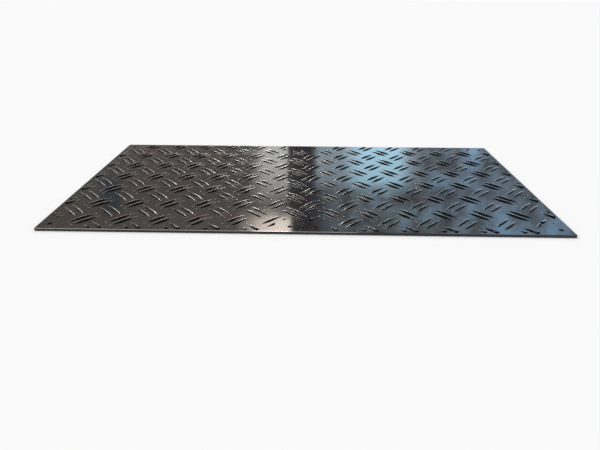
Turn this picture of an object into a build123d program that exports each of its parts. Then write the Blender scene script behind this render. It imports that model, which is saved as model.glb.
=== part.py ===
"""Ground protection mat: one moulded black polyethylene board with a raised two-way tread on top.

The board lies flat. Its origin is the middle of the underside, +X runs along the long side,
+Y along the short side and +Z up through the tread. All sizes are millimetres.
"""
import os
from math import cos, radians, sin

from build123d import *

os.makedirs("parts", exist_ok=True)

# Board
board_length = 2440
board_width = 1220
board_thickness = 12.7
corner_radius = 6
edge_chamfer = 1

# Holes for the pegs, ropes or bolts that hold and join the boards
hole_diameter = 20
hole_inset = 50
middle_hole_spacing = 120
hole_land = 70

# One tread bar: a long pointed foot, sloping flanks and a narrower crown
bar_length = 122
bar_waist = 48
bar_width = 18
bar_height = 7
flank_angle = 38

# How the bars are set out
bar_spacing = 38
bar_turn = 45
pair_pitch = 180
tread_margin = 20
tread_shift_x = 45
tread_shift_y = -60


def hole_places():
    """The centres of the eight holes: one in each corner and two at the middle of each long side."""
    row = board_width / 2 - hole_inset
    columns = [board_length / 2 - hole_inset, middle_hole_spacing / 2]
    return [(side * x, end * row) for end in (-1, 1) for x in columns for side in (-1, 1)]


def pair_centres(shift_x, shift_y):
    """The centres of every pair of bars in one direction that can reach the tread's outline."""
    reach = (bar_length + bar_spacing) / 2
    columns = int((board_length / 2 + reach + abs(shift_x)) // pair_pitch)
    rows = int((board_width / 2 + reach + abs(shift_y)) // pair_pitch)
    centres = [
        (shift_x + column * pair_pitch, shift_y + row * pair_pitch)
        for column in range(-columns, columns + 1)
        for row in range(-rows, rows + 1)
    ]
    return [
        (x, y)
        for x, y in centres
        if abs(x) < board_length / 2 + reach and abs(y) < board_width / 2 + reach
    ]


def bar_places(shift_x, shift_y, turn):
    """A place for each bar of the pairs that lean one way, the two of a pair side by side."""
    aside_x = -sin(radians(turn)) * bar_spacing / 2
    aside_y = cos(radians(turn)) * bar_spacing / 2
    return [
        Location((x + side * aside_x, y + side * aside_y, board_thickness), (0, 0, turn))
        for x, y in pair_centres(shift_x, shift_y)
        for side in (-1, 1)
    ]


# A single bar, lying along X with its foot at height 0: it is widest along its waist, runs out to
# a point at each end, and every side leans in by the flank angle, so the ends slope down gently
with BuildPart() as tread_bar:
    with BuildSketch() as bar_foot:
        with BuildLine() as bar_outline:
            near_side = Polyline(
                (-bar_length / 2, 0),
                (-bar_waist / 2, -bar_width / 2),
                (bar_waist / 2, -bar_width / 2),
                (bar_length / 2, 0),
            )
            mirror(near_side, about=Plane.XZ)
        make_face()
    extrude(amount=bar_height, taper=flank_angle)

# The two-way tread: pairs that lean left and pairs that lean right, half a pitch apart both ways,
# cut off at the bare margin of the board and at the bare land around the holes
with BuildPart() as tread:
    with Locations(*bar_places(-tread_shift_x, tread_shift_y, -bar_turn)):
        add(tread_bar.part)
    with Locations(
        *bar_places(pair_pitch / 2 - tread_shift_x, tread_shift_y + pair_pitch / 2, bar_turn)
    ):
        add(tread_bar.part)
    with BuildSketch(Plane.XY.offset(board_thickness)) as tread_field:
        Rectangle(board_length - 2 * tread_margin, board_width - 2 * tread_margin)
        with Locations(*hole_places()):
            Rectangle(2 * hole_land, 2 * hole_land, mode=Mode.SUBTRACT)
    extrude(amount=bar_height, mode=Mode.INTERSECT)

# The mat: the board with its edges broken, the tread standing on it, and the holes through
with BuildPart() as tracking_mat:
    with BuildSketch() as board_outline:
        RectangleRounded(board_length, board_width, corner_radius)
    extrude(amount=board_thickness)
    rims = tracking_mat.faces().filter_by(Axis.Z).edges()
    chamfer(rims, length=edge_chamfer)
    with Locations(*hole_places()):
        Hole(radius=hole_diameter / 2)
    add(tread.part)

tracking_mat.part.label = "tracking_mat"
export_step(tracking_mat.part, "parts/tracking_mat.step")
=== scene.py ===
# %% [markdown]
# # A ground protection mat
# One moulded board of black polyethylene, 2.44 m by 1.22 m, that vehicles and people cross so that
# they do not sink into soft ground. Its top carries a raised two-way tread. The CAD model gives
# the board its true size and place, and this script gives it its smooth bars and its finish.
# Loading the frame brings the CAD model in.

# %% Load the frame
from math import cos, radians, sin, tan

import bmesh
import bpy
from mathutils import Matrix, Vector


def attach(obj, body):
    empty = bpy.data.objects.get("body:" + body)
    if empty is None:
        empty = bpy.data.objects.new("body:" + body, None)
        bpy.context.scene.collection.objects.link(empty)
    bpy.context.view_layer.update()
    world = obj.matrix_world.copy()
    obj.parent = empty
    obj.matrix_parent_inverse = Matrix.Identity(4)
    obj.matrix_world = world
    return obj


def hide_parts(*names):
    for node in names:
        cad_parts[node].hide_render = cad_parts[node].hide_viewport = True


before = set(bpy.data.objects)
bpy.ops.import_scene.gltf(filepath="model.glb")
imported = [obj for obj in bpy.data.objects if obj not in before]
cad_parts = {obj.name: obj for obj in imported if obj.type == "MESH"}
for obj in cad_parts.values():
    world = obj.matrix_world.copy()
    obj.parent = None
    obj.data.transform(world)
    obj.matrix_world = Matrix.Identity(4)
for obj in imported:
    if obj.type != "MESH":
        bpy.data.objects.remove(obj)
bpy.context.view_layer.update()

# %% [markdown]
# ## Where the camera stood
# The mat lies flat and its real size is known, so its four corners in the picture are enough to
# find where the camera stood: 2.4 m in front of the mat's middle and a metre above it, looking
# down by 28 degrees. Yaw turns it to the left, pitch tips it down and roll tilts it. These three
# angles give the directions that the camera calls ahead, right and up.

# %% Camera directions
CAMERA_PLACE = Vector((0.026, -2.358, 0.981))
CAMERA_YAW = radians(1.24)
CAMERA_PITCH = radians(28.08)
CAMERA_ROLL = radians(0.17)

level_right = Vector((cos(CAMERA_YAW), sin(CAMERA_YAW), 0))
ahead = Vector(
    (
        -sin(CAMERA_YAW) * cos(CAMERA_PITCH),
        cos(CAMERA_YAW) * cos(CAMERA_PITCH),
        -sin(CAMERA_PITCH),
    )
)
level_up = level_right.cross(ahead)
camera_right = cos(CAMERA_ROLL) * level_right + sin(CAMERA_ROLL) * level_up
camera_up = -sin(CAMERA_ROLL) * level_right + cos(CAMERA_ROLL) * level_up
print("the camera looks along", [round(v, 3) for v in ahead])

# %% [markdown]
# ## The camera
# A camera looks along its own -Z, with X to its right and Y up, so these three directions are the
# columns of its matrix. The solved lens comes in pixels of a picture 600 wide, and the width of
# the sensor turns it into millimetres. Standard view shows each colour as it is written.

# %% Camera
PICTURE_WIDTH = 600
PICTURE_HEIGHT = 450
FOCAL_PIXELS = 446.3
SENSOR = 36.0

camera_data = bpy.data.cameras.new("camera")
camera_data.sensor_width = SENSOR
camera_data.lens = FOCAL_PIXELS / PICTURE_WIDTH * SENSOR
camera = bpy.data.objects.new("camera", camera_data)
camera.matrix_world = Matrix.Translation(CAMERA_PLACE) @ Matrix(
    (camera_right, camera_up, -ahead)
).transposed().to_4x4()
bpy.context.collection.objects.link(camera)
bpy.context.scene.camera = camera
bpy.context.scene.view_settings.view_transform = "Standard"
print("camera lens", round(camera_data.lens, 2), "mm")

# %% [markdown]
# ## From a bmesh to an object
# Each piece is shaped in a bmesh, Blender's mesh for editing. When its shape is done, points that
# lie on each other are merged and the faces are turned outwards, because a spin can leave them
# inside out. The place of the piece is in its mesh, and the object itself stays at the origin.

# %% Finish a shape
MERGE_DISTANCE = 1e-6


def finish_shape(name, bm):
    """Turns a bmesh into an object with merged points and outward faces."""
    bmesh.ops.remove_doubles(bm, verts=bm.verts, dist=MERGE_DISTANCE)
    bmesh.ops.recalc_face_normals(bm, faces=bm.faces)
    mesh = bpy.data.meshes.new(name)
    bm.to_mesh(mesh)
    bm.free()
    made = bpy.data.objects.new(name, mesh)
    bpy.context.collection.objects.link(made)
    return made


# %% [markdown]
# ## A flat plate
# The board is pressed flat between two platens. A scaled cube would give its block, but not its
# rounded corners. So it starts as one square face, whose corners are rounded while it is still
# flat, and then it is pulled up to its thickness. The tread's field is cut with the same helper.

# %% Plate
CORNER_STEPS = 5


def plate(length, width, low, high, corner=0.0):
    """A bmesh of a flat plate between two heights, with rounded corners if a radius is given."""
    bm = bmesh.new()
    bmesh.ops.create_grid(bm, x_segments=1, y_segments=1, size=0.5)
    bmesh.ops.scale(bm, vec=(length, width, 1), verts=bm.verts)
    bmesh.ops.translate(bm, vec=(0, 0, low), verts=bm.verts)
    if corner:
        bmesh.ops.bevel(
            bm, geom=bm.verts[:], offset=corner, offset_type="OFFSET", segments=CORNER_STEPS,
            profile=0.5, affect="VERTICES", material=-1,
        )
    pulled = bmesh.ops.extrude_face_region(bm, geom=bm.faces[:])
    top = [v for v in pulled["geom"] if isinstance(v, bmesh.types.BMVert)]
    bmesh.ops.translate(bm, vec=(0, 0, high - low), verts=top)
    return bm


# %% [markdown]
# ## Edges and rims
# A pressed board shrinks a little more at its edges as it cools, so its top falls away by a tenth
# of a millimetre over the last few, and the trimmed rims are lightly rounded. Both come after the
# block, because an inset and a bevel run cleanest on plain faces.

# %% Edges and rims
EDGE_DROOP_WIDTH = 0.005
EDGE_DROOP = 0.0001
RIM_RADIUS = 0.0012
RIM_STEPS = 3
STEEP = 0.5


def droop_edges(bm, low):
    """Lets the top of a plate that stands on this height fall away along its edges."""
    lid = [f for f in bm.faces if f.normal.z > STEEP and f.calc_center_median().z > low]
    bmesh.ops.inset_region(bm, faces=lid, thickness=EDGE_DROOP_WIDTH, depth=0)
    sides = [f for f in bm.faces if abs(f.normal.z) < STEEP]
    edge_verts = {v for f in sides for v in f.verts if v.co.z > low}
    bmesh.ops.translate(bm, vec=(0, 0, -EDGE_DROOP), verts=list(edge_verts))


def round_rims(bm):
    """Rounds the edges between the sides of a plate and its two flat faces."""
    sides = {f for f in bm.faces if abs(f.normal.z) < STEEP}
    rims = [e for e in bm.edges if len(sides.intersection(e.link_faces)) == 1]
    bmesh.ops.bevel(
        bm, geom=rims, offset=RIM_RADIUS, offset_type="OFFSET", segments=RIM_STEPS, profile=0.5,
        affect="EDGES", material=-1,
    )


# %% [markdown]
# ## The board
# With these helpers the board is four lines: the plate, its drooping edges, its rims, and the
# finished object.

# %% Board
BOARD_LENGTH = 2.440
BOARD_WIDTH = 1.220
BOARD_THICKNESS = 0.0127
CORNER_RADIUS = 0.006

bm = plate(BOARD_LENGTH, BOARD_WIDTH, 0, BOARD_THICKNESS, CORNER_RADIUS)
droop_edges(bm, 0)
round_rims(bm)
mat = finish_shape("mat", bm)
print("board faces", len(mat.data.polygons))

# %% [markdown]
# ## Where the holes are
# Ropes, pegs or bolts go through eight holes: one in each corner, and two at the middle of each
# long side, all the same way in from the edge.

# %% Hole places
HOLE_INSET = 0.050
MIDDLE_HOLE_SPACING = 0.120

hole_row = BOARD_WIDTH / 2 - HOLE_INSET
hole_columns = (BOARD_LENGTH / 2 - HOLE_INSET, MIDDLE_HOLE_SPACING / 2)
hole_places = [
    Vector((side * x, end * hole_row, 0))
    for end in (-1, 1)
    for x in hole_columns
    for side in (-1, 1)
]
print("holes", len(hole_places))

# %% [markdown]
# ## The hole cutter
# A drill that also breaks the sharp rim leaves a hole with flared ends. A plain cylinder would
# leave the rims sharp, so the cutter is spun from a profile that is wider at the board's two
# faces. It reaches past both of them, so that the cut is clean.

# %% Hole cutter
HOLE_RADIUS = 0.010
HOLE_RIM = 0.0007
HOLE_STEPS = 40
BEYOND = 0.004


def spin_cutter(bm, centre):
    """Adds a drill-shaped solid round one hole's centre, wider where it leaves the board."""
    flare = HOLE_RADIUS + HOLE_RIM
    profile = (
        (0, -BEYOND),
        (flare, -BEYOND),
        (flare, 0),
        (HOLE_RADIUS, HOLE_RIM),
        (HOLE_RADIUS, BOARD_THICKNESS - HOLE_RIM),
        (flare, BOARD_THICKNESS),
        (flare, BOARD_THICKNESS + BEYOND),
        (0, BOARD_THICKNESS + BEYOND),
    )
    points = [bm.verts.new(centre + Vector((r, 0, z))) for r, z in profile]
    line = [bm.edges.new(pair) for pair in zip(points, points[1:])]
    bmesh.ops.spin(
        bm, geom=points + line, cent=centre, axis=(0, 0, 1), angle=radians(360), steps=HOLE_STEPS,
        use_merge=True,
    )


bm = bmesh.new()
for place in hole_places:
    spin_cutter(bm, place)
hole_cutter = finish_shape("hole_cutter", bm)
print("hole cutter faces", len(hole_cutter.data.polygons))

# %% [markdown]
# ## One tread bar
# Each bar was milled into the mould by a round cutter, so it is a long oval with full, rounded
# tips, highest and widest in the middle, with a narrow crest and a small hollow along its foot. It
# could be carved from a block, but a flat grid that is bent into that shape has clean rows of
# faces. The bar is repeated hundreds of times, so it has only a few dozen, and they lie closer
# together towards the tips.

# %% Top of a bar
BAR_LENGTH = 0.122
BAR_WIDTH = 0.018
BAR_HEIGHT = 0.007
TIP_FULLNESS = 0.60

# Stations from the middle of a bar to its tip, as a share of its half length
STATIONS = (0.0, 0.34, 0.65, 0.88, 1.0)
# Its section from the crest to the foot: how far out, as a share of the half width at a station,
# and how high, as a share of the height there
SECTION = ((0.20, 1.0), (0.44, 0.84), (0.74, 0.35), (1.04, 0.0))


def bend_grid(bm):
    """Bends a grid into the top of one bar that lies along X with its foot at height 0."""
    along_steps = 2 * (len(STATIONS) - 1)
    across_steps = 2 * len(SECTION) - 1
    bmesh.ops.create_grid(bm, x_segments=along_steps, y_segments=across_steps, size=1)
    for vert in bm.verts:
        along = round((vert.co.x + 1) / 2 * along_steps) - along_steps // 2
        across = round((vert.co.y + 1) / 2 * across_steps) - across_steps / 2
        station = STATIONS[abs(along)]
        out, high = SECTION[int(abs(across) - 0.5)]
        arch = 1 - station**2
        vert.co.x = station * BAR_LENGTH / 2 * (1 if along >= 0 else -1)
        vert.co.y = out * arch**TIP_FULLNESS * BAR_WIDTH / 2 * (1 if across >= 0 else -1)
        vert.co.z = high * arch * BAR_HEIGHT
    bmesh.ops.remove_doubles(bm, verts=bm.verts, dist=MERGE_DISTANCE)


# %% [markdown]
# ## The foot and the beads
# A Boolean joins solids well only where they are closed and reach into each other. So the foot's
# open edge is pulled down a little into the board, and the bottom is filled. A low round bead
# stands just beyond each tip: a small ball, pressed flat and half sunk in the board.

# %% Foot and beads
SUNK = 0.0006
BEAD_RADIUS = 0.0045
BEAD_HEIGHT = 0.0011
BEAD_PLACE = 0.066
BEAD_SUNK = SUNK / 4
BEAD_AROUND = 6
BEAD_UP = 4


def close_foot(bm):
    """Pulls the open edge of a bar's foot down into the board and fills its bottom."""
    foot = [e for e in bm.edges if e.is_boundary]
    sunk = bmesh.ops.extrude_edge_only(bm, edges=foot)
    sunk_verts = [v for v in sunk["geom"] if isinstance(v, bmesh.types.BMVert)]
    bmesh.ops.translate(bm, vec=(0, 0, -SUNK), verts=sunk_verts)
    bmesh.ops.holes_fill(bm, edges=[e for e in bm.edges if e.is_boundary], sides=0)


def add_beads(bm):
    """Adds the flat bead beyond each of the bar's two tips."""
    for end in (-1, 1):
        bead = bmesh.ops.create_uvsphere(
            bm, u_segments=BEAD_AROUND, v_segments=BEAD_UP, radius=1
        )
        bmesh.ops.scale(bm, vec=(BEAD_RADIUS, BEAD_RADIUS, BEAD_HEIGHT), verts=bead["verts"])
        bmesh.ops.translate(bm, vec=(end * BEAD_PLACE, 0, -BEAD_SUNK), verts=bead["verts"])


bm = bmesh.new()
bend_grid(bm)
close_foot(bm)
add_beads(bm)
bmesh.ops.recalc_face_normals(bm, faces=bm.faces)
bar_mesh = bpy.data.meshes.new("tread_bar")
bm.to_mesh(bar_mesh)
print("faces of one bar with its beads", len(bm.faces))
bm.free()

# %% [markdown]
# ## The two-way tread
# The bars stand in pairs. One set of pairs leans to the left and the other to the right, half a
# pitch apart both ways, so that a tyre finds a grip in either direction. Each place is a matrix
# that turns a bar and moves it there. Places that lie wholly off the board are left out.

# %% Bar places
BAR_SPACING = 0.038
BAR_TURN = 45
PAIR_PITCH = 0.180
TREAD_SHIFT = Vector((-0.045, -0.060))
COLUMNS_EACH_WAY = 8
ROWS_EACH_WAY = 5


def bar_matrices(shift, turn):
    """Where every bar goes, for the pairs that lean one way."""
    aside = Vector((-sin(radians(turn)), cos(radians(turn)))) * BAR_SPACING / 2
    reach_x = BOARD_LENGTH / 2 + BAR_LENGTH
    reach_y = BOARD_WIDTH / 2 + BAR_LENGTH
    places = []
    for column in range(-COLUMNS_EACH_WAY, COLUMNS_EACH_WAY + 1):
        for row in range(-ROWS_EACH_WAY, ROWS_EACH_WAY + 1):
            centre = shift + Vector((column, row)) * PAIR_PITCH
            if abs(centre.x) < reach_x and abs(centre.y) < reach_y:
                places += [centre - aside, centre + aside]
    turned = Matrix.Rotation(radians(turn), 4, "Z")
    return [Matrix.Translation((p.x, p.y, BOARD_THICKNESS)) @ turned for p in places]


half_pitch = Vector((PAIR_PITCH, PAIR_PITCH)) / 2
right_leaning = bar_matrices(TREAD_SHIFT, -BAR_TURN)
left_leaning = bar_matrices(TREAD_SHIFT + half_pitch, BAR_TURN)
print("bars", len(right_leaning), "and", len(left_leaning))

# %% [markdown]
# ## Setting out the bars
# An Array modifier could repeat the pairs, but the two sets and the board's ends would need
# several. One bmesh takes the small bar mesh once for each place, and only the points that it has
# just taken are moved there.

# %% Tread
bm = bmesh.new()
for matrix in right_leaning + left_leaning:
    before = len(bm.verts)
    bm.from_mesh(bar_mesh)
    bm.verts.ensure_lookup_table()
    bmesh.ops.transform(bm, matrix=matrix, verts=bm.verts[before:])
tread = finish_shape("tread", bm)
bpy.data.meshes.remove(bar_mesh)
print("tread faces", len(tread.data.polygons))

# %% [markdown]
# ## Margin and lands
# The real tread stops at a bare margin along the board's edges and leaves a bare square land round
# each hole, and the bars there are cut off short. One plate has the size of the tread's field, and
# a block at each hole covers its land. The two middle lands overlap, and a Boolean would keep what
# lies in both blocks of one tool. So the holes left of the middle and those right of it each have
# a tool of their own.

# %% Field and lands
TREAD_MARGIN = 0.020
HOLE_LAND = 0.070
FIELD_BELOW = 0.002
FIELD_ABOVE = 2 * BAR_HEIGHT

field = finish_shape(
    "field",
    plate(
        BOARD_LENGTH - 2 * TREAD_MARGIN,
        BOARD_WIDTH - 2 * TREAD_MARGIN,
        BOARD_THICKNESS - FIELD_BELOW,
        BOARD_THICKNESS + FIELD_ABOVE,
    ),
)


def land_blocks(name, places):
    """Blocks over the lands of these holes, none of which may reach into another."""
    bm = bmesh.new()
    for place in places:
        block = bmesh.ops.create_cube(bm, size=2 * HOLE_LAND)
        bmesh.ops.translate(bm, vec=place, verts=block["verts"])
    return finish_shape(name, bm)


left_lands = land_blocks("left_lands", hole_places[::2])
right_lands = land_blocks("right_lands", hole_places[1::2])
print("field", [round(v, 4) for v in field.dimensions], "lands", len(hole_places))

# %% [markdown]
# ## Cutting and joining
# Five Booleans make one closed solid: the field keeps the tread inside it, the lands are taken
# away from the tread, the holes are cut in the board, and board and tread are joined. The Manifold
# solver is quick on closed solids. Each modifier is applied at once, and its tool is removed.

# %% Cut and join
def cut(target, tool, operation):
    """Applies one solid to another and removes the tool."""
    change = target.modifiers.new("cut", "BOOLEAN")
    change.operation = operation
    change.solver = "MANIFOLD"
    change.object = tool
    done = bpy.data.meshes.new_from_object(
        target.evaluated_get(bpy.context.evaluated_depsgraph_get())
    )
    old = target.data
    target.modifiers.clear()
    target.data = done
    bpy.data.meshes.remove(old)
    bpy.data.meshes.remove(tool.data)
    print(target.name, "after", operation.lower(), len(done.polygons), "faces")


cut(tread, field, "INTERSECT")
cut(tread, left_lands, "DIFFERENCE")
cut(tread, right_lands, "DIFFERENCE")
cut(mat, hole_cutter, "DIFFERENCE")
cut(mat, tread, "UNION")

# %% [markdown]
# ## Clean cuts
# Where a bar is cut off, its curved flank leaves faces with many corners that do not lie in one
# plane. Split at will, some of them would fold a sliver on to the cut. Split into well-shaped
# triangles they do not, and the solid stays closed, with two faces at every edge.

# %% Clean cuts
FLAT_WITHIN = 1e-5
UPRIGHT = 0.01

bm = bmesh.new()
bm.from_mesh(mat.data)
above = [f for f in bm.faces if f.calc_center_median().z > BOARD_THICKNESS + FLAT_WITHIN]
ends = {f for f in above if abs(f.normal.z) < UPRIGHT}
beside = [
    f for f in above if f not in ends and any(g in ends for e in f.edges for g in e.link_faces)
]
bmesh.ops.triangulate(bm, faces=beside, quad_method="BEAUTY", ngon_method="BEAUTY")
bm.to_mesh(mat.data)
bm.free()
print("cut ends", len(ends), "mat faces", len(mat.data.polygons))

# %% [markdown]
# ## Smooth and sharp
# The bars are smooth to the eye, so all faces are shaded smooth, and only two kinds of edge stay
# sharp: those where a bar is cut off, and the line where a flank meets the flat top. Without the
# second, the flat top would shade as if it rose towards every bar.

# %% Sharp edges
SHARP_CUT = radians(60)
SHARP_FOOT = radians(15)

for polygon in mat.data.polygons:
    polygon.use_smooth = True
mat.data.set_sharp_from_angle(angle=SHARP_CUT)

bm = bmesh.new()
bm.from_mesh(mat.data)
feet = 0
for edge in bm.edges:
    on_top = all(abs(v.co.z - BOARD_THICKNESS) < FLAT_WITHIN for v in edge.verts)
    if on_top and edge.calc_face_angle(0) > SHARP_FOOT:
        edge.smooth = False
        feet += 1
bm.to_mesh(mat.data)
bm.free()
print("sharp foot edges", feet)

# %% [markdown]
# ## Weighted normals, and a place in the frame
# The flat faces are huge beside the narrow ones of the bars and rims. Normals weighted by area
# keep the flat top flat, up to its edges. Then the mat takes the place of its CAD solid: that
# solid is hidden, and the mat rides on the same body.

# %% Shading and frame
weighted = mat.modifiers.new("even_shading", "WEIGHTED_NORMAL")
weighted.mode = "FACE_AREA"
weighted.weight = 100
weighted.keep_sharp = True
mat.name = "ground_mat"
mat.data.name = "ground_mat"
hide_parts("tracking_mat")
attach(mat, "root")
mat.data.calc_loop_triangles()
print("mat triangles", len(mat.data.loop_triangles))

# %% [markdown]
# ## Placing nodes
# A finish is a tree of nodes, each with a few inputs. One helper adds a node, sets its options,
# and for each named input either links another node's output or writes a plain value. A few
# shorter helpers stand on it, so that a finish reads as a list of what it is made of.

# %% Node helper
def place_node(tree, kind, settings=(), **inputs):
    """Adds a shader node, sets its options, and fills or links the inputs that are named. An
    input's spaces are written as underscores, and _0, _1 and so on name one by its number."""
    node = tree.nodes.new(kind)
    for option, value in dict(settings).items():
        setattr(node, option, value)
    for name, value in inputs.items():
        socket = node.inputs[int(name[1:]) if name[0] == "_" else name.replace("_", " ")]
        if isinstance(value, bpy.types.NodeSocket):
            tree.links.new(value, socket)
        else:
            socket.default_value = value
    return node


def math_node(tree, operation, first, second):
    """One step of arithmetic on two values."""
    node = place_node(tree, "ShaderNodeMath", {"operation": operation}, _0=first, _1=second)
    return node.outputs[0]


def times(tree, first, second):
    """The product of two values."""
    return math_node(tree, "MULTIPLY", first, second)


# %% [markdown]
# ## Masks and blends
# A mask is a value from 0 to 1 over the surface. Noise gives it a natural pattern, a ramp picks
# the stretch of the noise that counts, and a blend uses the mask to go from one colour or value
# to another.

# %% Masks and blends
def noise(tree, where, cells, detail=2.0, roughness=0.5):
    """An even noise, from 0 to 1, with the given number of cells per metre."""
    return place_node(
        tree, "ShaderNodeTexNoise", Vector=where, Scale=cells, Detail=detail, Roughness=roughness
    ).outputs["Fac"]


def ramp(tree, value, low, high, to_low=0.0, to_high=1.0):
    """Turns the stretch from low to high of a value into another stretch, with soft ends."""
    return place_node(
        tree, "ShaderNodeMapRange", {"interpolation_type": "SMOOTHSTEP"}, Value=value,
        From_Min=low, From_Max=high, To_Min=to_low, To_Max=to_high,
    ).outputs["Result"]


def blend_colour(tree, mask, first, second):
    """The first colour where the mask is 0 and the second where it is 1."""
    mix = place_node(tree, "ShaderNodeMix", {"data_type": "RGBA"}, _0=mask, _6=first, _7=second)
    return mix.outputs[2]


def blend_value(tree, mask, first, second):
    """The first value where the mask is 0 and the second where it is 1."""
    mix = place_node(tree, "ShaderNodeMix", {"data_type": "FLOAT"}, _0=mask, _2=first, _3=second)
    return mix.outputs[0]


# %% [markdown]
# ## Black polyethylene
# The board is coloured through with carbon black, so the plastic itself sends back less than one
# percent of the light. What the eye sees is its gloss. One Principled shader does for it, with the
# plastic's own index of refraction. All patterns are read from the object's coordinates in
# metres, so they stay fixed on the mat and have the same scale everywhere.

# %% Plastic
PLASTIC_IOR = 1.5

polyethylene = bpy.data.materials.new("black_polyethylene")
polyethylene.use_nodes = True
plastic = polyethylene.node_tree
shader = plastic.nodes["Principled BSDF"]
shader.inputs["IOR"].default_value = PLASTIC_IOR
where = place_node(plastic, "ShaderNodeTexCoord").outputs["Object"]
height = place_node(plastic, "ShaderNodeSeparateXYZ", Vector=where).outputs["Z"]
mat.data.materials.clear()
mat.data.materials.append(polyethylene)
print("mirrored straight on", round(((PLASTIC_IOR - 1) / (PLASTIC_IOR + 1)) ** 2, 3))

# %% [markdown]
# ## Rubbed crests and painted highlight
# Whatever slides over the mat touches the crests of the bars first. Their lighter colour is partly
# that wear and partly a painted highlight, the light line that their curved tops would mirror.
# They are known by their height, so the mask is a ramp over the last two millimetres, broken up by
# a noise, because rubbing is never even.

# %% Rubbed crests and painted highlight
CREST = BOARD_THICKNESS + BAR_HEIGHT
CREST_MARK_STARTS = CREST - 0.0022
CREST_MARK_FULL = CREST - 0.0004
CREST_MARK_CELLS = 60
CREST_MARK_STRETCH = (0.30, 0.62)
LEAST_CREST_MARK = 0.35

crest = ramp(plastic, height, CREST_MARK_STARTS, CREST_MARK_FULL)
uneven = ramp(plastic, noise(plastic, where, CREST_MARK_CELLS, 3), *CREST_MARK_STRETCH, to_low=LEAST_CREST_MARK)
# Mask of the crests: real wear, and also a painted highlight along them
rubbed_and_highlit = times(plastic, crest, uneven)
print("crests rubbed from", round(1000 * CREST_MARK_STARTS, 1), "to", round(1000 * CREST_MARK_FULL, 1), "mm")

# %% [markdown]
# ## Film and tint
# Handling leaves a thin uneven film, and recycled plastic is never quite the same black: it leans
# to green in one place and to brown in another. Each is a cloudy noise of its own size.

# %% Film and tint
FILM_CELLS = 9
FILM_STRETCH = (0.35, 0.70)
TINT_CELLS = 14
TINT_STRETCH = (0.38, 0.62)
CLOUDY = 0.6

film = ramp(plastic, noise(plastic, where, FILM_CELLS, 5, CLOUDY), *FILM_STRETCH)
tint = ramp(plastic, noise(plastic, where, TINT_CELLS, 3, CLOUDY), *TINT_STRETCH)
print("film patches", round(1000 / FILM_CELLS), "mm, tint patches", round(1000 / TINT_CELLS), "mm")

# %% [markdown]
# ## Where grains gather
# Pale grains lie in patches round the place that is trodden most, right of the middle at the
# front. The distance from that place fades them out, and a noise breaks them into patches.

# %% Trodden place
TRODDEN_PLACE = (0.45, -0.40, 0)
TRODDEN_FULL = 0.30
TRODDEN_REACH = 0.90
DIRT_CELLS = 5
DIRT_STRETCH = (0.42, 0.58)

from_trodden = place_node(
    plastic, "ShaderNodeVectorMath", {"operation": "DISTANCE"}, _0=where, _1=TRODDEN_PLACE
).outputs["Value"]
trodden = ramp(plastic, from_trodden, TRODDEN_REACH, TRODDEN_FULL)
patchy = ramp(plastic, noise(plastic, where, DIRT_CELLS, 4), *DIRT_STRETCH)
dirty = times(plastic, trodden, patchy)
print("grains within", TRODDEN_REACH, "m of", TRODDEN_PLACE[:2])

# %% [markdown]
# ## Grains
# Each grain is a small round spot. A noise would give worms and clouds, but a Voronoi pattern has
# one point in each cell, and a random colour to go with it. Here the red says whether a cell has
# its grain, and the green makes it smaller. The pattern is flat, so it would run down the board's
# edge in streaks if it were not kept to the top.

# %% Grains
GRAIN_CELLS = 60
GRAIN_EDGE = 0.22
GRAIN_CORE = 0.10
GRAIN_CHANCE = (0.70, 0.74)
SMALLEST_GRAIN = 2.4
TOP_STARTS = BOARD_THICKNESS - 0.0015
TOP_FULL = BOARD_THICKNESS - 0.0003


def grit(tree, where, cells, amount):
    """Scattered round grains of mixed sizes, more of them where the amount is high."""
    pattern = place_node(
        tree, "ShaderNodeTexVoronoi", {"voronoi_dimensions": "2D"}, Vector=where, Scale=cells
    ).outputs
    chance = place_node(tree, "ShaderNodeSeparateColor", Color=pattern["Color"]).outputs
    there = ramp(tree, times(tree, chance["Red"], amount), *GRAIN_CHANCE)
    smaller = blend_value(tree, chance["Green"], 1.0, SMALLEST_GRAIN)
    from_middle = times(tree, pattern["Distance"], smaller)
    return times(tree, there, ramp(tree, from_middle, GRAIN_EDGE, GRAIN_CORE))


on_top = ramp(plastic, height, TOP_STARTS, TOP_FULL)
grains = times(plastic, grit(plastic, where, GRAIN_CELLS, dirty), on_top)
print("largest grain", round(2000 * GRAIN_EDGE / GRAIN_CELLS, 1), "mm across")

# %% [markdown]
# ## Colour
# The masks are laid over each other in the order in which they came to be: the plastic's own two
# blacks, the film on them, the scuffed crests with their painted highlight, and last the grains.

# %% Colour
GREEN_BLACK = (0.0018, 0.0064, 0.0048, 1)
BROWN_BLACK = (0.0135, 0.0046, 0.0024, 1)
FILMED = (0.0066, 0.0060, 0.0052, 1)
# Lighter crests: partly wear, partly a painted highlight
SCUFFED_AND_HIGHLIT = (0.060, 0.057, 0.055, 1)
DUSTY = (0.40, 0.42, 0.44, 1)

colour = blend_colour(plastic, tint, GREEN_BLACK, BROWN_BLACK)
colour = blend_colour(plastic, film, colour, FILMED)
colour = blend_colour(plastic, rubbed_and_highlit, colour, SCUFFED_AND_HIGHLIT)
colour = blend_colour(plastic, grains, colour, DUSTY)
plastic.links.new(colour, shader.inputs["Base Color"])
for shade in (GREEN_BLACK, BROWN_BLACK, FILMED, SCUFFED_AND_HIGHLIT, DUSTY):
    print("a colour that sends back", round(100 * sum(shade[:3]) / 3, 1), "percent")

# %% [markdown]
# ## Gloss
# A polished platen leaves the top nearly as smooth as itself, so its roughness is low and varies
# only a little. The rubbed crests are finely scratched, and their highlights are wider.

# %% Gloss
SMOOTHEST = 0.04
DULLEST = 0.08
SCRATCHED = 0.20
GLOSS_CELLS = 22
GLOSS_STRETCH = (0.30, 0.70)

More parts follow.
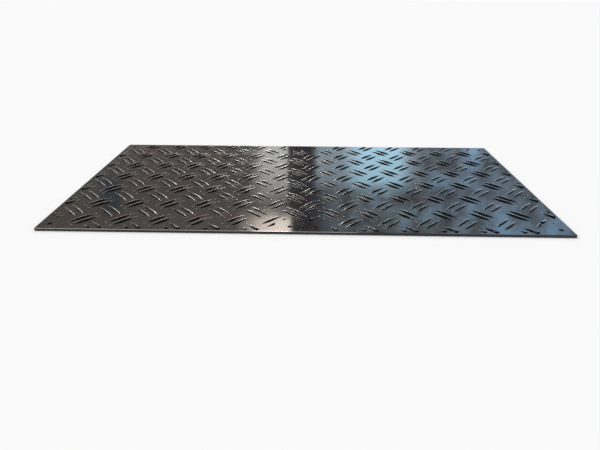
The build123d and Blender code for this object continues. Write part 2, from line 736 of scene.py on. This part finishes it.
gloss = ramp(
    plastic, noise(plastic, where, GLOSS_CELLS, 4), *GLOSS_STRETCH, to_low=SMOOTHEST,
    to_high=DULLEST,
)
gloss = blend_value(plastic, rubbed_and_highlit, gloss, SCRATCHED)
plastic.links.new(gloss, shader.inputs["Roughness"])
print("roughness from", SMOOTHEST, "to", SCRATCHED)

# %% [markdown]
# ## Bumps
# Three sizes of relief are too fine for the mesh. A cooling board warps in long low waves, which
# bend the lines of its reflections. The platen's grain is a tenth of a millimetre deep, and each
# grain of dust stands up a millimetre. Each Bump node passes its normal on to the next one.

# %% Bumps
WAVE_CELLS = 4
WAVE_DEPTH = 0.0009
SKIN_CELLS = 420
SKIN_DEPTH = 0.0001
SKIN_STRENGTH = 0.15
GRAIN_HEIGHT = 0.0012

waves = place_node(
    plastic, "ShaderNodeBump", Strength=1.0, Distance=WAVE_DEPTH,
    Height=noise(plastic, where, WAVE_CELLS, 1),
)
skin = place_node(
    plastic, "ShaderNodeBump", Strength=SKIN_STRENGTH, Distance=SKIN_DEPTH,
    Height=noise(plastic, where, SKIN_CELLS, 2), Normal=waves.outputs[0],
)
specks = place_node(
    plastic, "ShaderNodeBump", Strength=1.0, Distance=GRAIN_HEIGHT, Height=grains,
    Normal=skin.outputs[0],
)
plastic.links.new(specks.outputs["Normal"], shader.inputs["Normal"])
print("material nodes", len(plastic.nodes))

# %% [markdown]
# ## Floor
# A wide pale floor carries the mat and takes its soft shadow. It has no gloss of its own, so it
# looks the same from every side.

# %% Floor
FLOOR_REACH = 40
FLOOR_COLOUR = (0.93, 0.93, 0.93, 1)
FLOOR_ROUGHNESS = 0.9

bm = bmesh.new()
bmesh.ops.create_grid(bm, x_segments=1, y_segments=1, size=FLOOR_REACH)
floor = finish_shape("floor", bm)
floor_paint = bpy.data.materials.new("floor")
floor_paint.use_nodes = True
paint = floor_paint.node_tree.nodes["Principled BSDF"]
paint.inputs["Base Color"].default_value = FLOOR_COLOUR
paint.inputs["Roughness"].default_value = FLOOR_ROUGHNESS
paint.inputs["Specular IOR Level"].default_value = 0.0
floor.data.materials.append(floor_paint)
print("floor", 2 * FLOOR_REACH, "m wide")

# %% [markdown]
# ## Even light
# The world gives most of the light, evenly from all sides, so that a colour renders about as it is
# written. Camera rays, mirrored rays and rays through glass see it as plain white, which is the
# background. The Light Path node tells these rays from the ones that light the scene.

# %% World
WORLD_LEVEL = 0.80
WHITE = (1, 1, 1, 1)

world = bpy.data.worlds.new("world")
bpy.context.scene.world = world
world.use_nodes = True
sky = world.node_tree
sky.nodes.clear()
ray = place_node(sky, "ShaderNodeLightPath").outputs
seen = math_node(sky, "MAXIMUM", ray["Is Camera Ray"], ray["Is Glossy Ray"])
seen = math_node(sky, "MAXIMUM", seen, ray["Is Transmission Ray"])
level = blend_value(sky, seen, WORLD_LEVEL, 1.0)
air = place_node(sky, "ShaderNodeBackground", Color=WHITE, Strength=level)
place_node(sky, "ShaderNodeOutputWorld", Surface=air.outputs[0])
print("world level", WORLD_LEVEL)

# %% [markdown]
# ## A soft sun
# Light from all sides alone leaves every shape flat. A wide soft sun from above and to one side
# adds a direction. It is hidden from mirrored rays, because the real gloss shows no such disc.

# %% Sun
SUN_LEVEL = 0.85
SUN_WIDTH = radians(40)
SUN_TURN = (radians(-18), radians(-28), 0)

sun_data = bpy.data.lights.new("soft_sun", "SUN")
sun_data.energy = SUN_LEVEL
sun_data.angle = SUN_WIDTH
sun = bpy.data.objects.new("soft_sun", sun_data)
sun.rotation_euler = SUN_TURN
sun.visible_glossy = False
bpy.context.collection.objects.link(sun)
print("sun level", SUN_LEVEL)

# %% [markdown]
# ## What the gloss sees
# Black gloss looks black only where it mirrors something dark. So a dim tent stands round the set,
# and soft glowing cards behind the mat give it its bright bands. Only mirrored rays see them: they
# neither light the floor nor shade it. They are stage, not part of the object, and Cycles does not
# count them as lamps.

# %% For the gloss only
def hide_but_for_gloss(thing):
    """Only mirrored rays see the tent, the cards and the panels."""
    thing.visible_camera = False
    thing.visible_diffuse = False
    thing.visible_shadow = False
    thing.visible_transmission = False
    thing.visible_volume_scatter = False


def glow_material(name):
    """A material with no surface yet, and its empty tree."""
    made = bpy.data.materials.new(name)
    made.use_nodes = True
    made.node_tree.nodes.clear()
    made.cycles.emission_sampling = "NONE"
    return made, made.node_tree


# %% [markdown]
# ## How bright the tent is
# Two colour ramps say it. One goes by height, the sine of the angle above the floor: light low
# down, dim at the height that the flat top mirrors, and dark overhead. The other goes by bearing
# in degrees, below zero to the left of straight ahead: grey to the left, dark in a narrow band
# ahead, and blue to the right. The two are multiplied.

# %% Tent levels
TENT_LEVEL = 4.0
TENT_BY_HEIGHT = (
    (0.00, (1.60, 1.50, 1.45)),
    (0.16, (1.10, 1.03, 1.00)),
    (0.30, (0.34, 0.31, 0.29)),
    (0.40, (0.42, 0.38, 0.36)),
    (0.475, (0.60, 0.55, 0.52)),
    (0.52, (0.45, 0.42, 0.40)),
    (0.62, (0.12, 0.11, 0.11)),
    (1.00, (0.10, 0.10, 0.10)),
)
TENT_BY_BEARING = (
    (-180, (1.0, 1.0, 1.0)),
    (-110, (0.5, 0.5, 0.5)),
    (-60, (0.5, 0.5, 0.5)),
    (-38, (1.05, 1.0, 0.97)),
    (-8, (1.10, 1.08, 1.06)),
    (-1.2, (0.36, 0.38, 0.46)),
    (1.0, (0.36, 0.38, 0.46)),
    (4.0, (1.2, 1.7, 2.1)),
    (14, (1.2, 1.75, 2.2)),
    (22, (1.6, 2.6, 3.7)),
    (34, (1.6, 2.6, 3.7)),
    (44, (1.2, 1.4, 1.6)),
    (60, (0.5, 0.5, 0.5)),
    (110, (0.5, 0.5, 0.5)),
    (180, (1.0, 1.0, 1.0)),
)
print("tent stops", len(TENT_BY_HEIGHT), "by height,", len(TENT_BY_BEARING), "by bearing")

# %% [markdown]
# ## Two ramps on a ball
# The tent is a ball round the set. Each point of it, taken as a direction, has a height, its Z,
# and a bearing, the angle of its X and Y. A colour ramp runs from 0 to 1, so the bearing is
# turned into a share of a full turn. Some of its tints go above 1, so all are divided by the
# tent's level, and the strength of the glow multiplies them by it again.

# %% Tent colours
TENT_RADIUS = 30.0
TENT_STEPS_ROUND = 48
TENT_STEPS_UP = 24
HALF_TURN = 180


def colour_ramp(tree, value, stops):
    """A ramp of colours over a value from 0 to 1."""
    node = place_node(tree, "ShaderNodeValToRGB", Fac=value)
    elements = node.color_ramp.elements
    for step, (at, colour) in enumerate(stops):
        element = elements[step] if step < 2 else elements.new(at)
        element.position = at
        element.color = (*colour, 1)
    return node.outputs["Color"]


def multiply_colours(tree, first, second):
    """The product of two colours."""
    return place_node(
        tree, "ShaderNodeMix", {"data_type": "RGBA", "blend_type": "MULTIPLY"}, _0=1.0, _6=first,
        _7=second,
    ).outputs[2]


bm = bmesh.new()
bmesh.ops.create_uvsphere(
    bm, u_segments=TENT_STEPS_ROUND, v_segments=TENT_STEPS_UP, radius=TENT_RADIUS
)
tent = finish_shape("tent", bm)
tent_glow, canvas = glow_material("tent")
spot = place_node(canvas, "ShaderNodeTexCoord").outputs["Object"]
spot = place_node(canvas, "ShaderNodeVectorMath", {"operation": "NORMALIZE"}, _0=spot).outputs[0]
part = place_node(canvas, "ShaderNodeSeparateXYZ", Vector=spot).outputs
bearing = math_node(canvas, "ARCTAN2", part["X"], part["Y"])
turn_share = place_node(
    canvas, "ShaderNodeMapRange", Value=bearing, From_Min=radians(-HALF_TURN),
    From_Max=radians(HALF_TURN),
).outputs[0]
bearing_stops = [
    ((angle + HALF_TURN) / (2 * HALF_TURN), tuple(c / TENT_LEVEL for c in shade))
    for angle, shade in TENT_BY_BEARING
]
tent_colour = multiply_colours(
    canvas,
    colour_ramp(canvas, part["Z"], TENT_BY_HEIGHT),
    colour_ramp(canvas, turn_share, bearing_stops),
)
print("tent", 2 * TENT_RADIUS, "m wide")

# %% [markdown]
# ## Patches in the tent
# To the right, the real gloss shows no even blue but patches of it, with darker brown between. A
# noise on the ball makes the patches brighter and bluer where it is high. Two ramps on the bearing
# keep them to the right, so the views from behind show no seam.

# %% Tent patches
PATCH_CELLS = 20
PATCH_STRETCH = (0.38, 0.62)
PATCH_ROUGHNESS = 0.7
PATCH_DIM = 0.40
PATCH_BRIGHT = 1.65
PATCH_BROWN = (1.25, 0.95, 0.82, 1)
PATCH_BLUE = (0.88, 1.03, 1.10, 1)
PATCHES_FROM = (radians(2), radians(7))
PATCHES_TO = (radians(110), radians(70))

patches = ramp(canvas, noise(canvas, spot, PATCH_CELLS, 4, PATCH_ROUGHNESS), *PATCH_STRETCH)
to_right = times(
    canvas, ramp(canvas, bearing, *PATCHES_FROM), ramp(canvas, bearing, *PATCHES_TO)
)
glow = blend_value(canvas, patches, PATCH_DIM * TENT_LEVEL, PATCH_BRIGHT * TENT_LEVEL)
glow = blend_value(canvas, to_right, TENT_LEVEL, glow)
patch_tint = blend_colour(canvas, patches, PATCH_BROWN, PATCH_BLUE)
patch_tint = blend_colour(canvas, to_right, WHITE, patch_tint)
tent_colour = multiply_colours(canvas, tent_colour, patch_tint)
shine = place_node(canvas, "ShaderNodeEmission", Color=tent_colour, Strength=glow)
place_node(canvas, "ShaderNodeOutputMaterial", Surface=shine.outputs[0])
tent.data.materials.append(tent_glow)
hide_but_for_gloss(tent)
print("tent nodes", len(canvas.nodes))

# %% [markdown]
# ## Bright cards
# A card is put where its mirror image in the flat top covers chosen columns and rows of the
# picture. The view ray through a pixel is mirrored in the top and followed to the upright plane
# where the card stands. The card is a grid, because equal steps in the picture are unequal steps
# on the card, and each of its points goes where its own ray does. The two cards that lie over
# another one stand half a metre nearer, and the rest meet only in their soft edges.

# %% Where a card stands
CARD_DISTANCE = 16.0
NEARER_DISTANCE = 15.5
CARD_STEPS = 24


def mirrored(column, row, distance):
    """Where the view ray through a pixel goes once the mat's top has mirrored it, far behind."""
    ray_way = (
        ahead * FOCAL_PIXELS
        + camera_right * (column - PICTURE_WIDTH / 2)
        - camera_up * (row - PICTURE_HEIGHT / 2)
    )
    hit = CAMERA_PLACE + ray_way * ((BOARD_THICKNESS - CAMERA_PLACE.z) / ray_way.z)
    onward = Vector((ray_way.x, ray_way.y, -ray_way.z))
    return hit + onward * ((distance - hit.y) / onward.y)


def card_shape(name, columns, rows, distance):
    """A grid that the top shows between these columns and rows, with its own UV map."""
    bm = bmesh.new()
    bm.loops.layers.uv.new("UVMap")
    bmesh.ops.create_grid(
        bm, x_segments=CARD_STEPS, y_segments=CARD_STEPS, size=0.5, calc_uvs=True
    )
    for vert in bm.verts:
        across, down = vert.co.x + 0.5, 0.5 - vert.co.y
        column = columns[0] + (columns[1] - columns[0]) * across
        row = rows[0] + (rows[1] - rows[0]) * down
        vert.co = mirrored(column, row, distance)
    return finish_shape(name, bm)


# %% [markdown]
# ## Soft edges
# A card with hard edges would show as a sheet of paper. Every card fades into the tent behind it,
# each with its own widths, so the fade is a node group: built once, with an input for each edge,
# and placed in every card's material. It puts out a mask that is 0 at the edges and 1 inside.

# %% Soft edges
soft_edges = bpy.data.node_groups.new("soft_edges", "ShaderNodeTree")
sockets = soft_edges.interface
sockets.new_socket("Place", in_out="INPUT", socket_type="NodeSocketVector")
for side in ("Left", "Right", "Far", "Near"):
    sockets.new_socket(side, in_out="INPUT", socket_type="NodeSocketFloat")
sockets.new_socket("Mask", in_out="OUTPUT", socket_type="NodeSocketFloat")

given = place_node(soft_edges, "NodeGroupInput").outputs
part = place_node(soft_edges, "ShaderNodeSeparateXYZ", Vector=given["Place"]).outputs
from_right = math_node(soft_edges, "SUBTRACT", 1.0, part["X"])
from_far = math_node(soft_edges, "SUBTRACT", 1.0, part["Y"])
mask = ramp(soft_edges, part["X"], 0, given["Left"])
mask = times(soft_edges, mask, ramp(soft_edges, from_right, 0, given["Right"]))
mask = times(soft_edges, mask, ramp(soft_edges, from_far, 0, given["Far"]))
mask = times(soft_edges, mask, ramp(soft_edges, part["Y"], 0, given["Near"]))
place_node(soft_edges, "NodeGroupOutput", Mask=mask)
print("soft edges nodes", len(soft_edges.nodes))

# %% [markdown]
# ## The glow of a card
# Inside the mask a card glows, from one colour at its far edge to another at its near edge, and
# outside it is clear. A black Principled shader without gloss does both: only its emission shows,
# and the mask is its alpha. The four fades are shares of the card's width and height.

# %% Card
BLACK = (0, 0, 0, 1)


def card(name, columns, rows, fades, far_colour, near_colour, strength, distance=CARD_DISTANCE):
    """A glowing card seen in the top between these columns and rows. The four fades are those of
    its left, right, far and near edges."""
    made = card_shape(name, columns, rows, distance)
    glow, tree = glow_material(name)
    uv = place_node(tree, "ShaderNodeTexCoord").outputs["UV"]
    left, right, far, near = fades
    mask = place_node(
        tree, "ShaderNodeGroup", {"node_tree": soft_edges}, Place=uv, Left=left, Right=right,
        Far=far, Near=near,
    ).outputs["Mask"]
    to_far = place_node(tree, "ShaderNodeSeparateXYZ", Vector=uv).outputs["Y"]
    shade = blend_colour(tree, to_far, (*near_colour, 1), (*far_colour, 1))
    shine = place_node(
        tree, "ShaderNodeBsdfPrincipled", Base_Color=BLACK, Specular_IOR_Level=0.0,
        Emission_Color=shade, Emission_Strength=strength, Alpha=mask,
    )
    place_node(tree, "ShaderNodeOutputMaterial", Surface=shine.outputs[0])
    made.data.materials.append(glow)
    hide_but_for_gloss(made)


# %% [markdown]
# ## Which columns and rows
# Seven cards make the bands. A pale strip left of the dark band grows cream towards the front, and
# a wide blue one with a bright core lies right of it. A cool patch lies at the left. A lamp and a
# low card are not seen in the flat top itself: they stand where the bars' curved crests look.

# %% Picture columns and rows of the cards
STRIP_COLUMNS, STRIP_ROWS = (246, 289), (20, 218)
CREAM_COLUMNS, CREAM_ROWS = (232, 292), (206, 240)
WIDE_COLUMNS, WIDE_ROWS = (311, 430), (20, 196)
CORE_COLUMNS, CORE_ROWS = (338, 414), (20, 199)
COOL_COLUMNS, COOL_ROWS = (94, 128), (170, 222)
LAMP_COLUMNS, LAMP_ROWS = (250, 292), (236, 350)
LOW_COLUMNS, LOW_ROWS = (205, 286), (30, 115)

print("dark band from column", STRIP_COLUMNS[1], "to", WIDE_COLUMNS[0])

# %% [markdown]
# ## Hanging the cards
# Strengths say how bright a card is beside white paper. The lamp is far brighter than the rest,
# because plastic mirrors only a few percent of it, and its glint has to be white.

# %% Cards
CREAM = (1.0, 0.88, 0.76)
COOL_BLUE = (0.60, 0.80, 1.0)
LAMP_WHITE = (1.0, 0.93, 0.86)
LOW_WHITE = (1.0, 0.98, 0.95)

card(
    "strip_card", STRIP_COLUMNS, STRIP_ROWS, fades=(0.55, 0.05, 0.05, 0.22),
    far_colour=(0.78, 0.92, 1.0), near_colour=(1, 0.95, 0.9), strength=2.3,
)
card(
    "cream_card", CREAM_COLUMNS, CREAM_ROWS, fades=(0.75, 0.06, 0.6, 0.1),
    far_colour=CREAM, near_colour=CREAM, strength=7.0,
)
card(
    "wide_card", WIDE_COLUMNS, WIDE_ROWS, fades=(0.08, 0.2, 0.05, 0.12),
    far_colour=(0.72, 0.88, 1.0), near_colour=(0.66, 0.86, 1.0), strength=1.6,
)
card(
    "core_card", CORE_COLUMNS, CORE_ROWS, fades=(0.35, 0.25, 0.05, 0.13),
    far_colour=(0.52, 0.84, 1.0), near_colour=(0.48, 0.8, 1.0), strength=3.8,
    distance=NEARER_DISTANCE,
)
card(
    "cool_card", COOL_COLUMNS, COOL_ROWS, fades=(0.4, 0.4, 0.3, 0.3),
    far_colour=COOL_BLUE, near_colour=COOL_BLUE, strength=0.30,
)
card(
    "lamp_card", LAMP_COLUMNS, LAMP_ROWS, fades=(0.2, 0.2, 0.1, 0.3),
    far_colour=LAMP_WHITE, near_colour=LAMP_WHITE, strength=60.0,
)
card(
    "low_card", LOW_COLUMNS, LOW_ROWS, fades=(0.8, 0.1, 0.2, 0.2),
    far_colour=LOW_WHITE, near_colour=LOW_WHITE, strength=24.0, distance=NEARER_DISTANCE,
)

# %% [markdown]
# ## Ceiling panels
# The rounded crests of the bars tilt to every side, so they mirror what hangs higher up. A wide
# panel ahead of the mat, and one behind the camera for the views from the back, draw a light line
# along the crests and leave the steep flanks black. Both hang well to the left, because the crests
# of the bars at the right stay dark.

# %% Ceiling panels
PANEL_HEIGHT = 6.0
PANEL_LEVEL = 8.0
PANEL_COLOUR = (1.0, 0.97, 0.94, 1)
PANEL_NEAR = radians(46)
PANEL_FAR = radians(34)
PANEL_HALF_WIDTH = 5.2
PANEL_MIDDLE = -3.8


def ceiling_panel(name, side):
    """A panel overhead, between two angles above the floor as seen from the mat."""
    near, far = (side * PANEL_HEIGHT / tan(angle) for angle in (PANEL_NEAR, PANEL_FAR))
    bm = bmesh.new()
    bmesh.ops.create_grid(bm, x_segments=1, y_segments=1, size=0.5)
    bmesh.ops.scale(bm, vec=(2 * PANEL_HALF_WIDTH, abs(far - near), 1), verts=bm.verts)
    bmesh.ops.translate(bm, vec=(PANEL_MIDDLE, (near + far) / 2, PANEL_HEIGHT), verts=bm.verts)
    made = finish_shape(name, bm)
    glow, tree = glow_material(name)
    shine = place_node(tree, "ShaderNodeEmission", Color=PANEL_COLOUR, Strength=PANEL_LEVEL)
    place_node(tree, "ShaderNodeOutputMaterial", Surface=shine.outputs[0])
    made.data.materials.append(glow)
    hide_but_for_gloss(made)
    print(name, "from", round(near, 1), "to", round(far, 1), "m")


ceiling_panel("panel_ahead", 1)
ceiling_panel("panel_behind", -1)
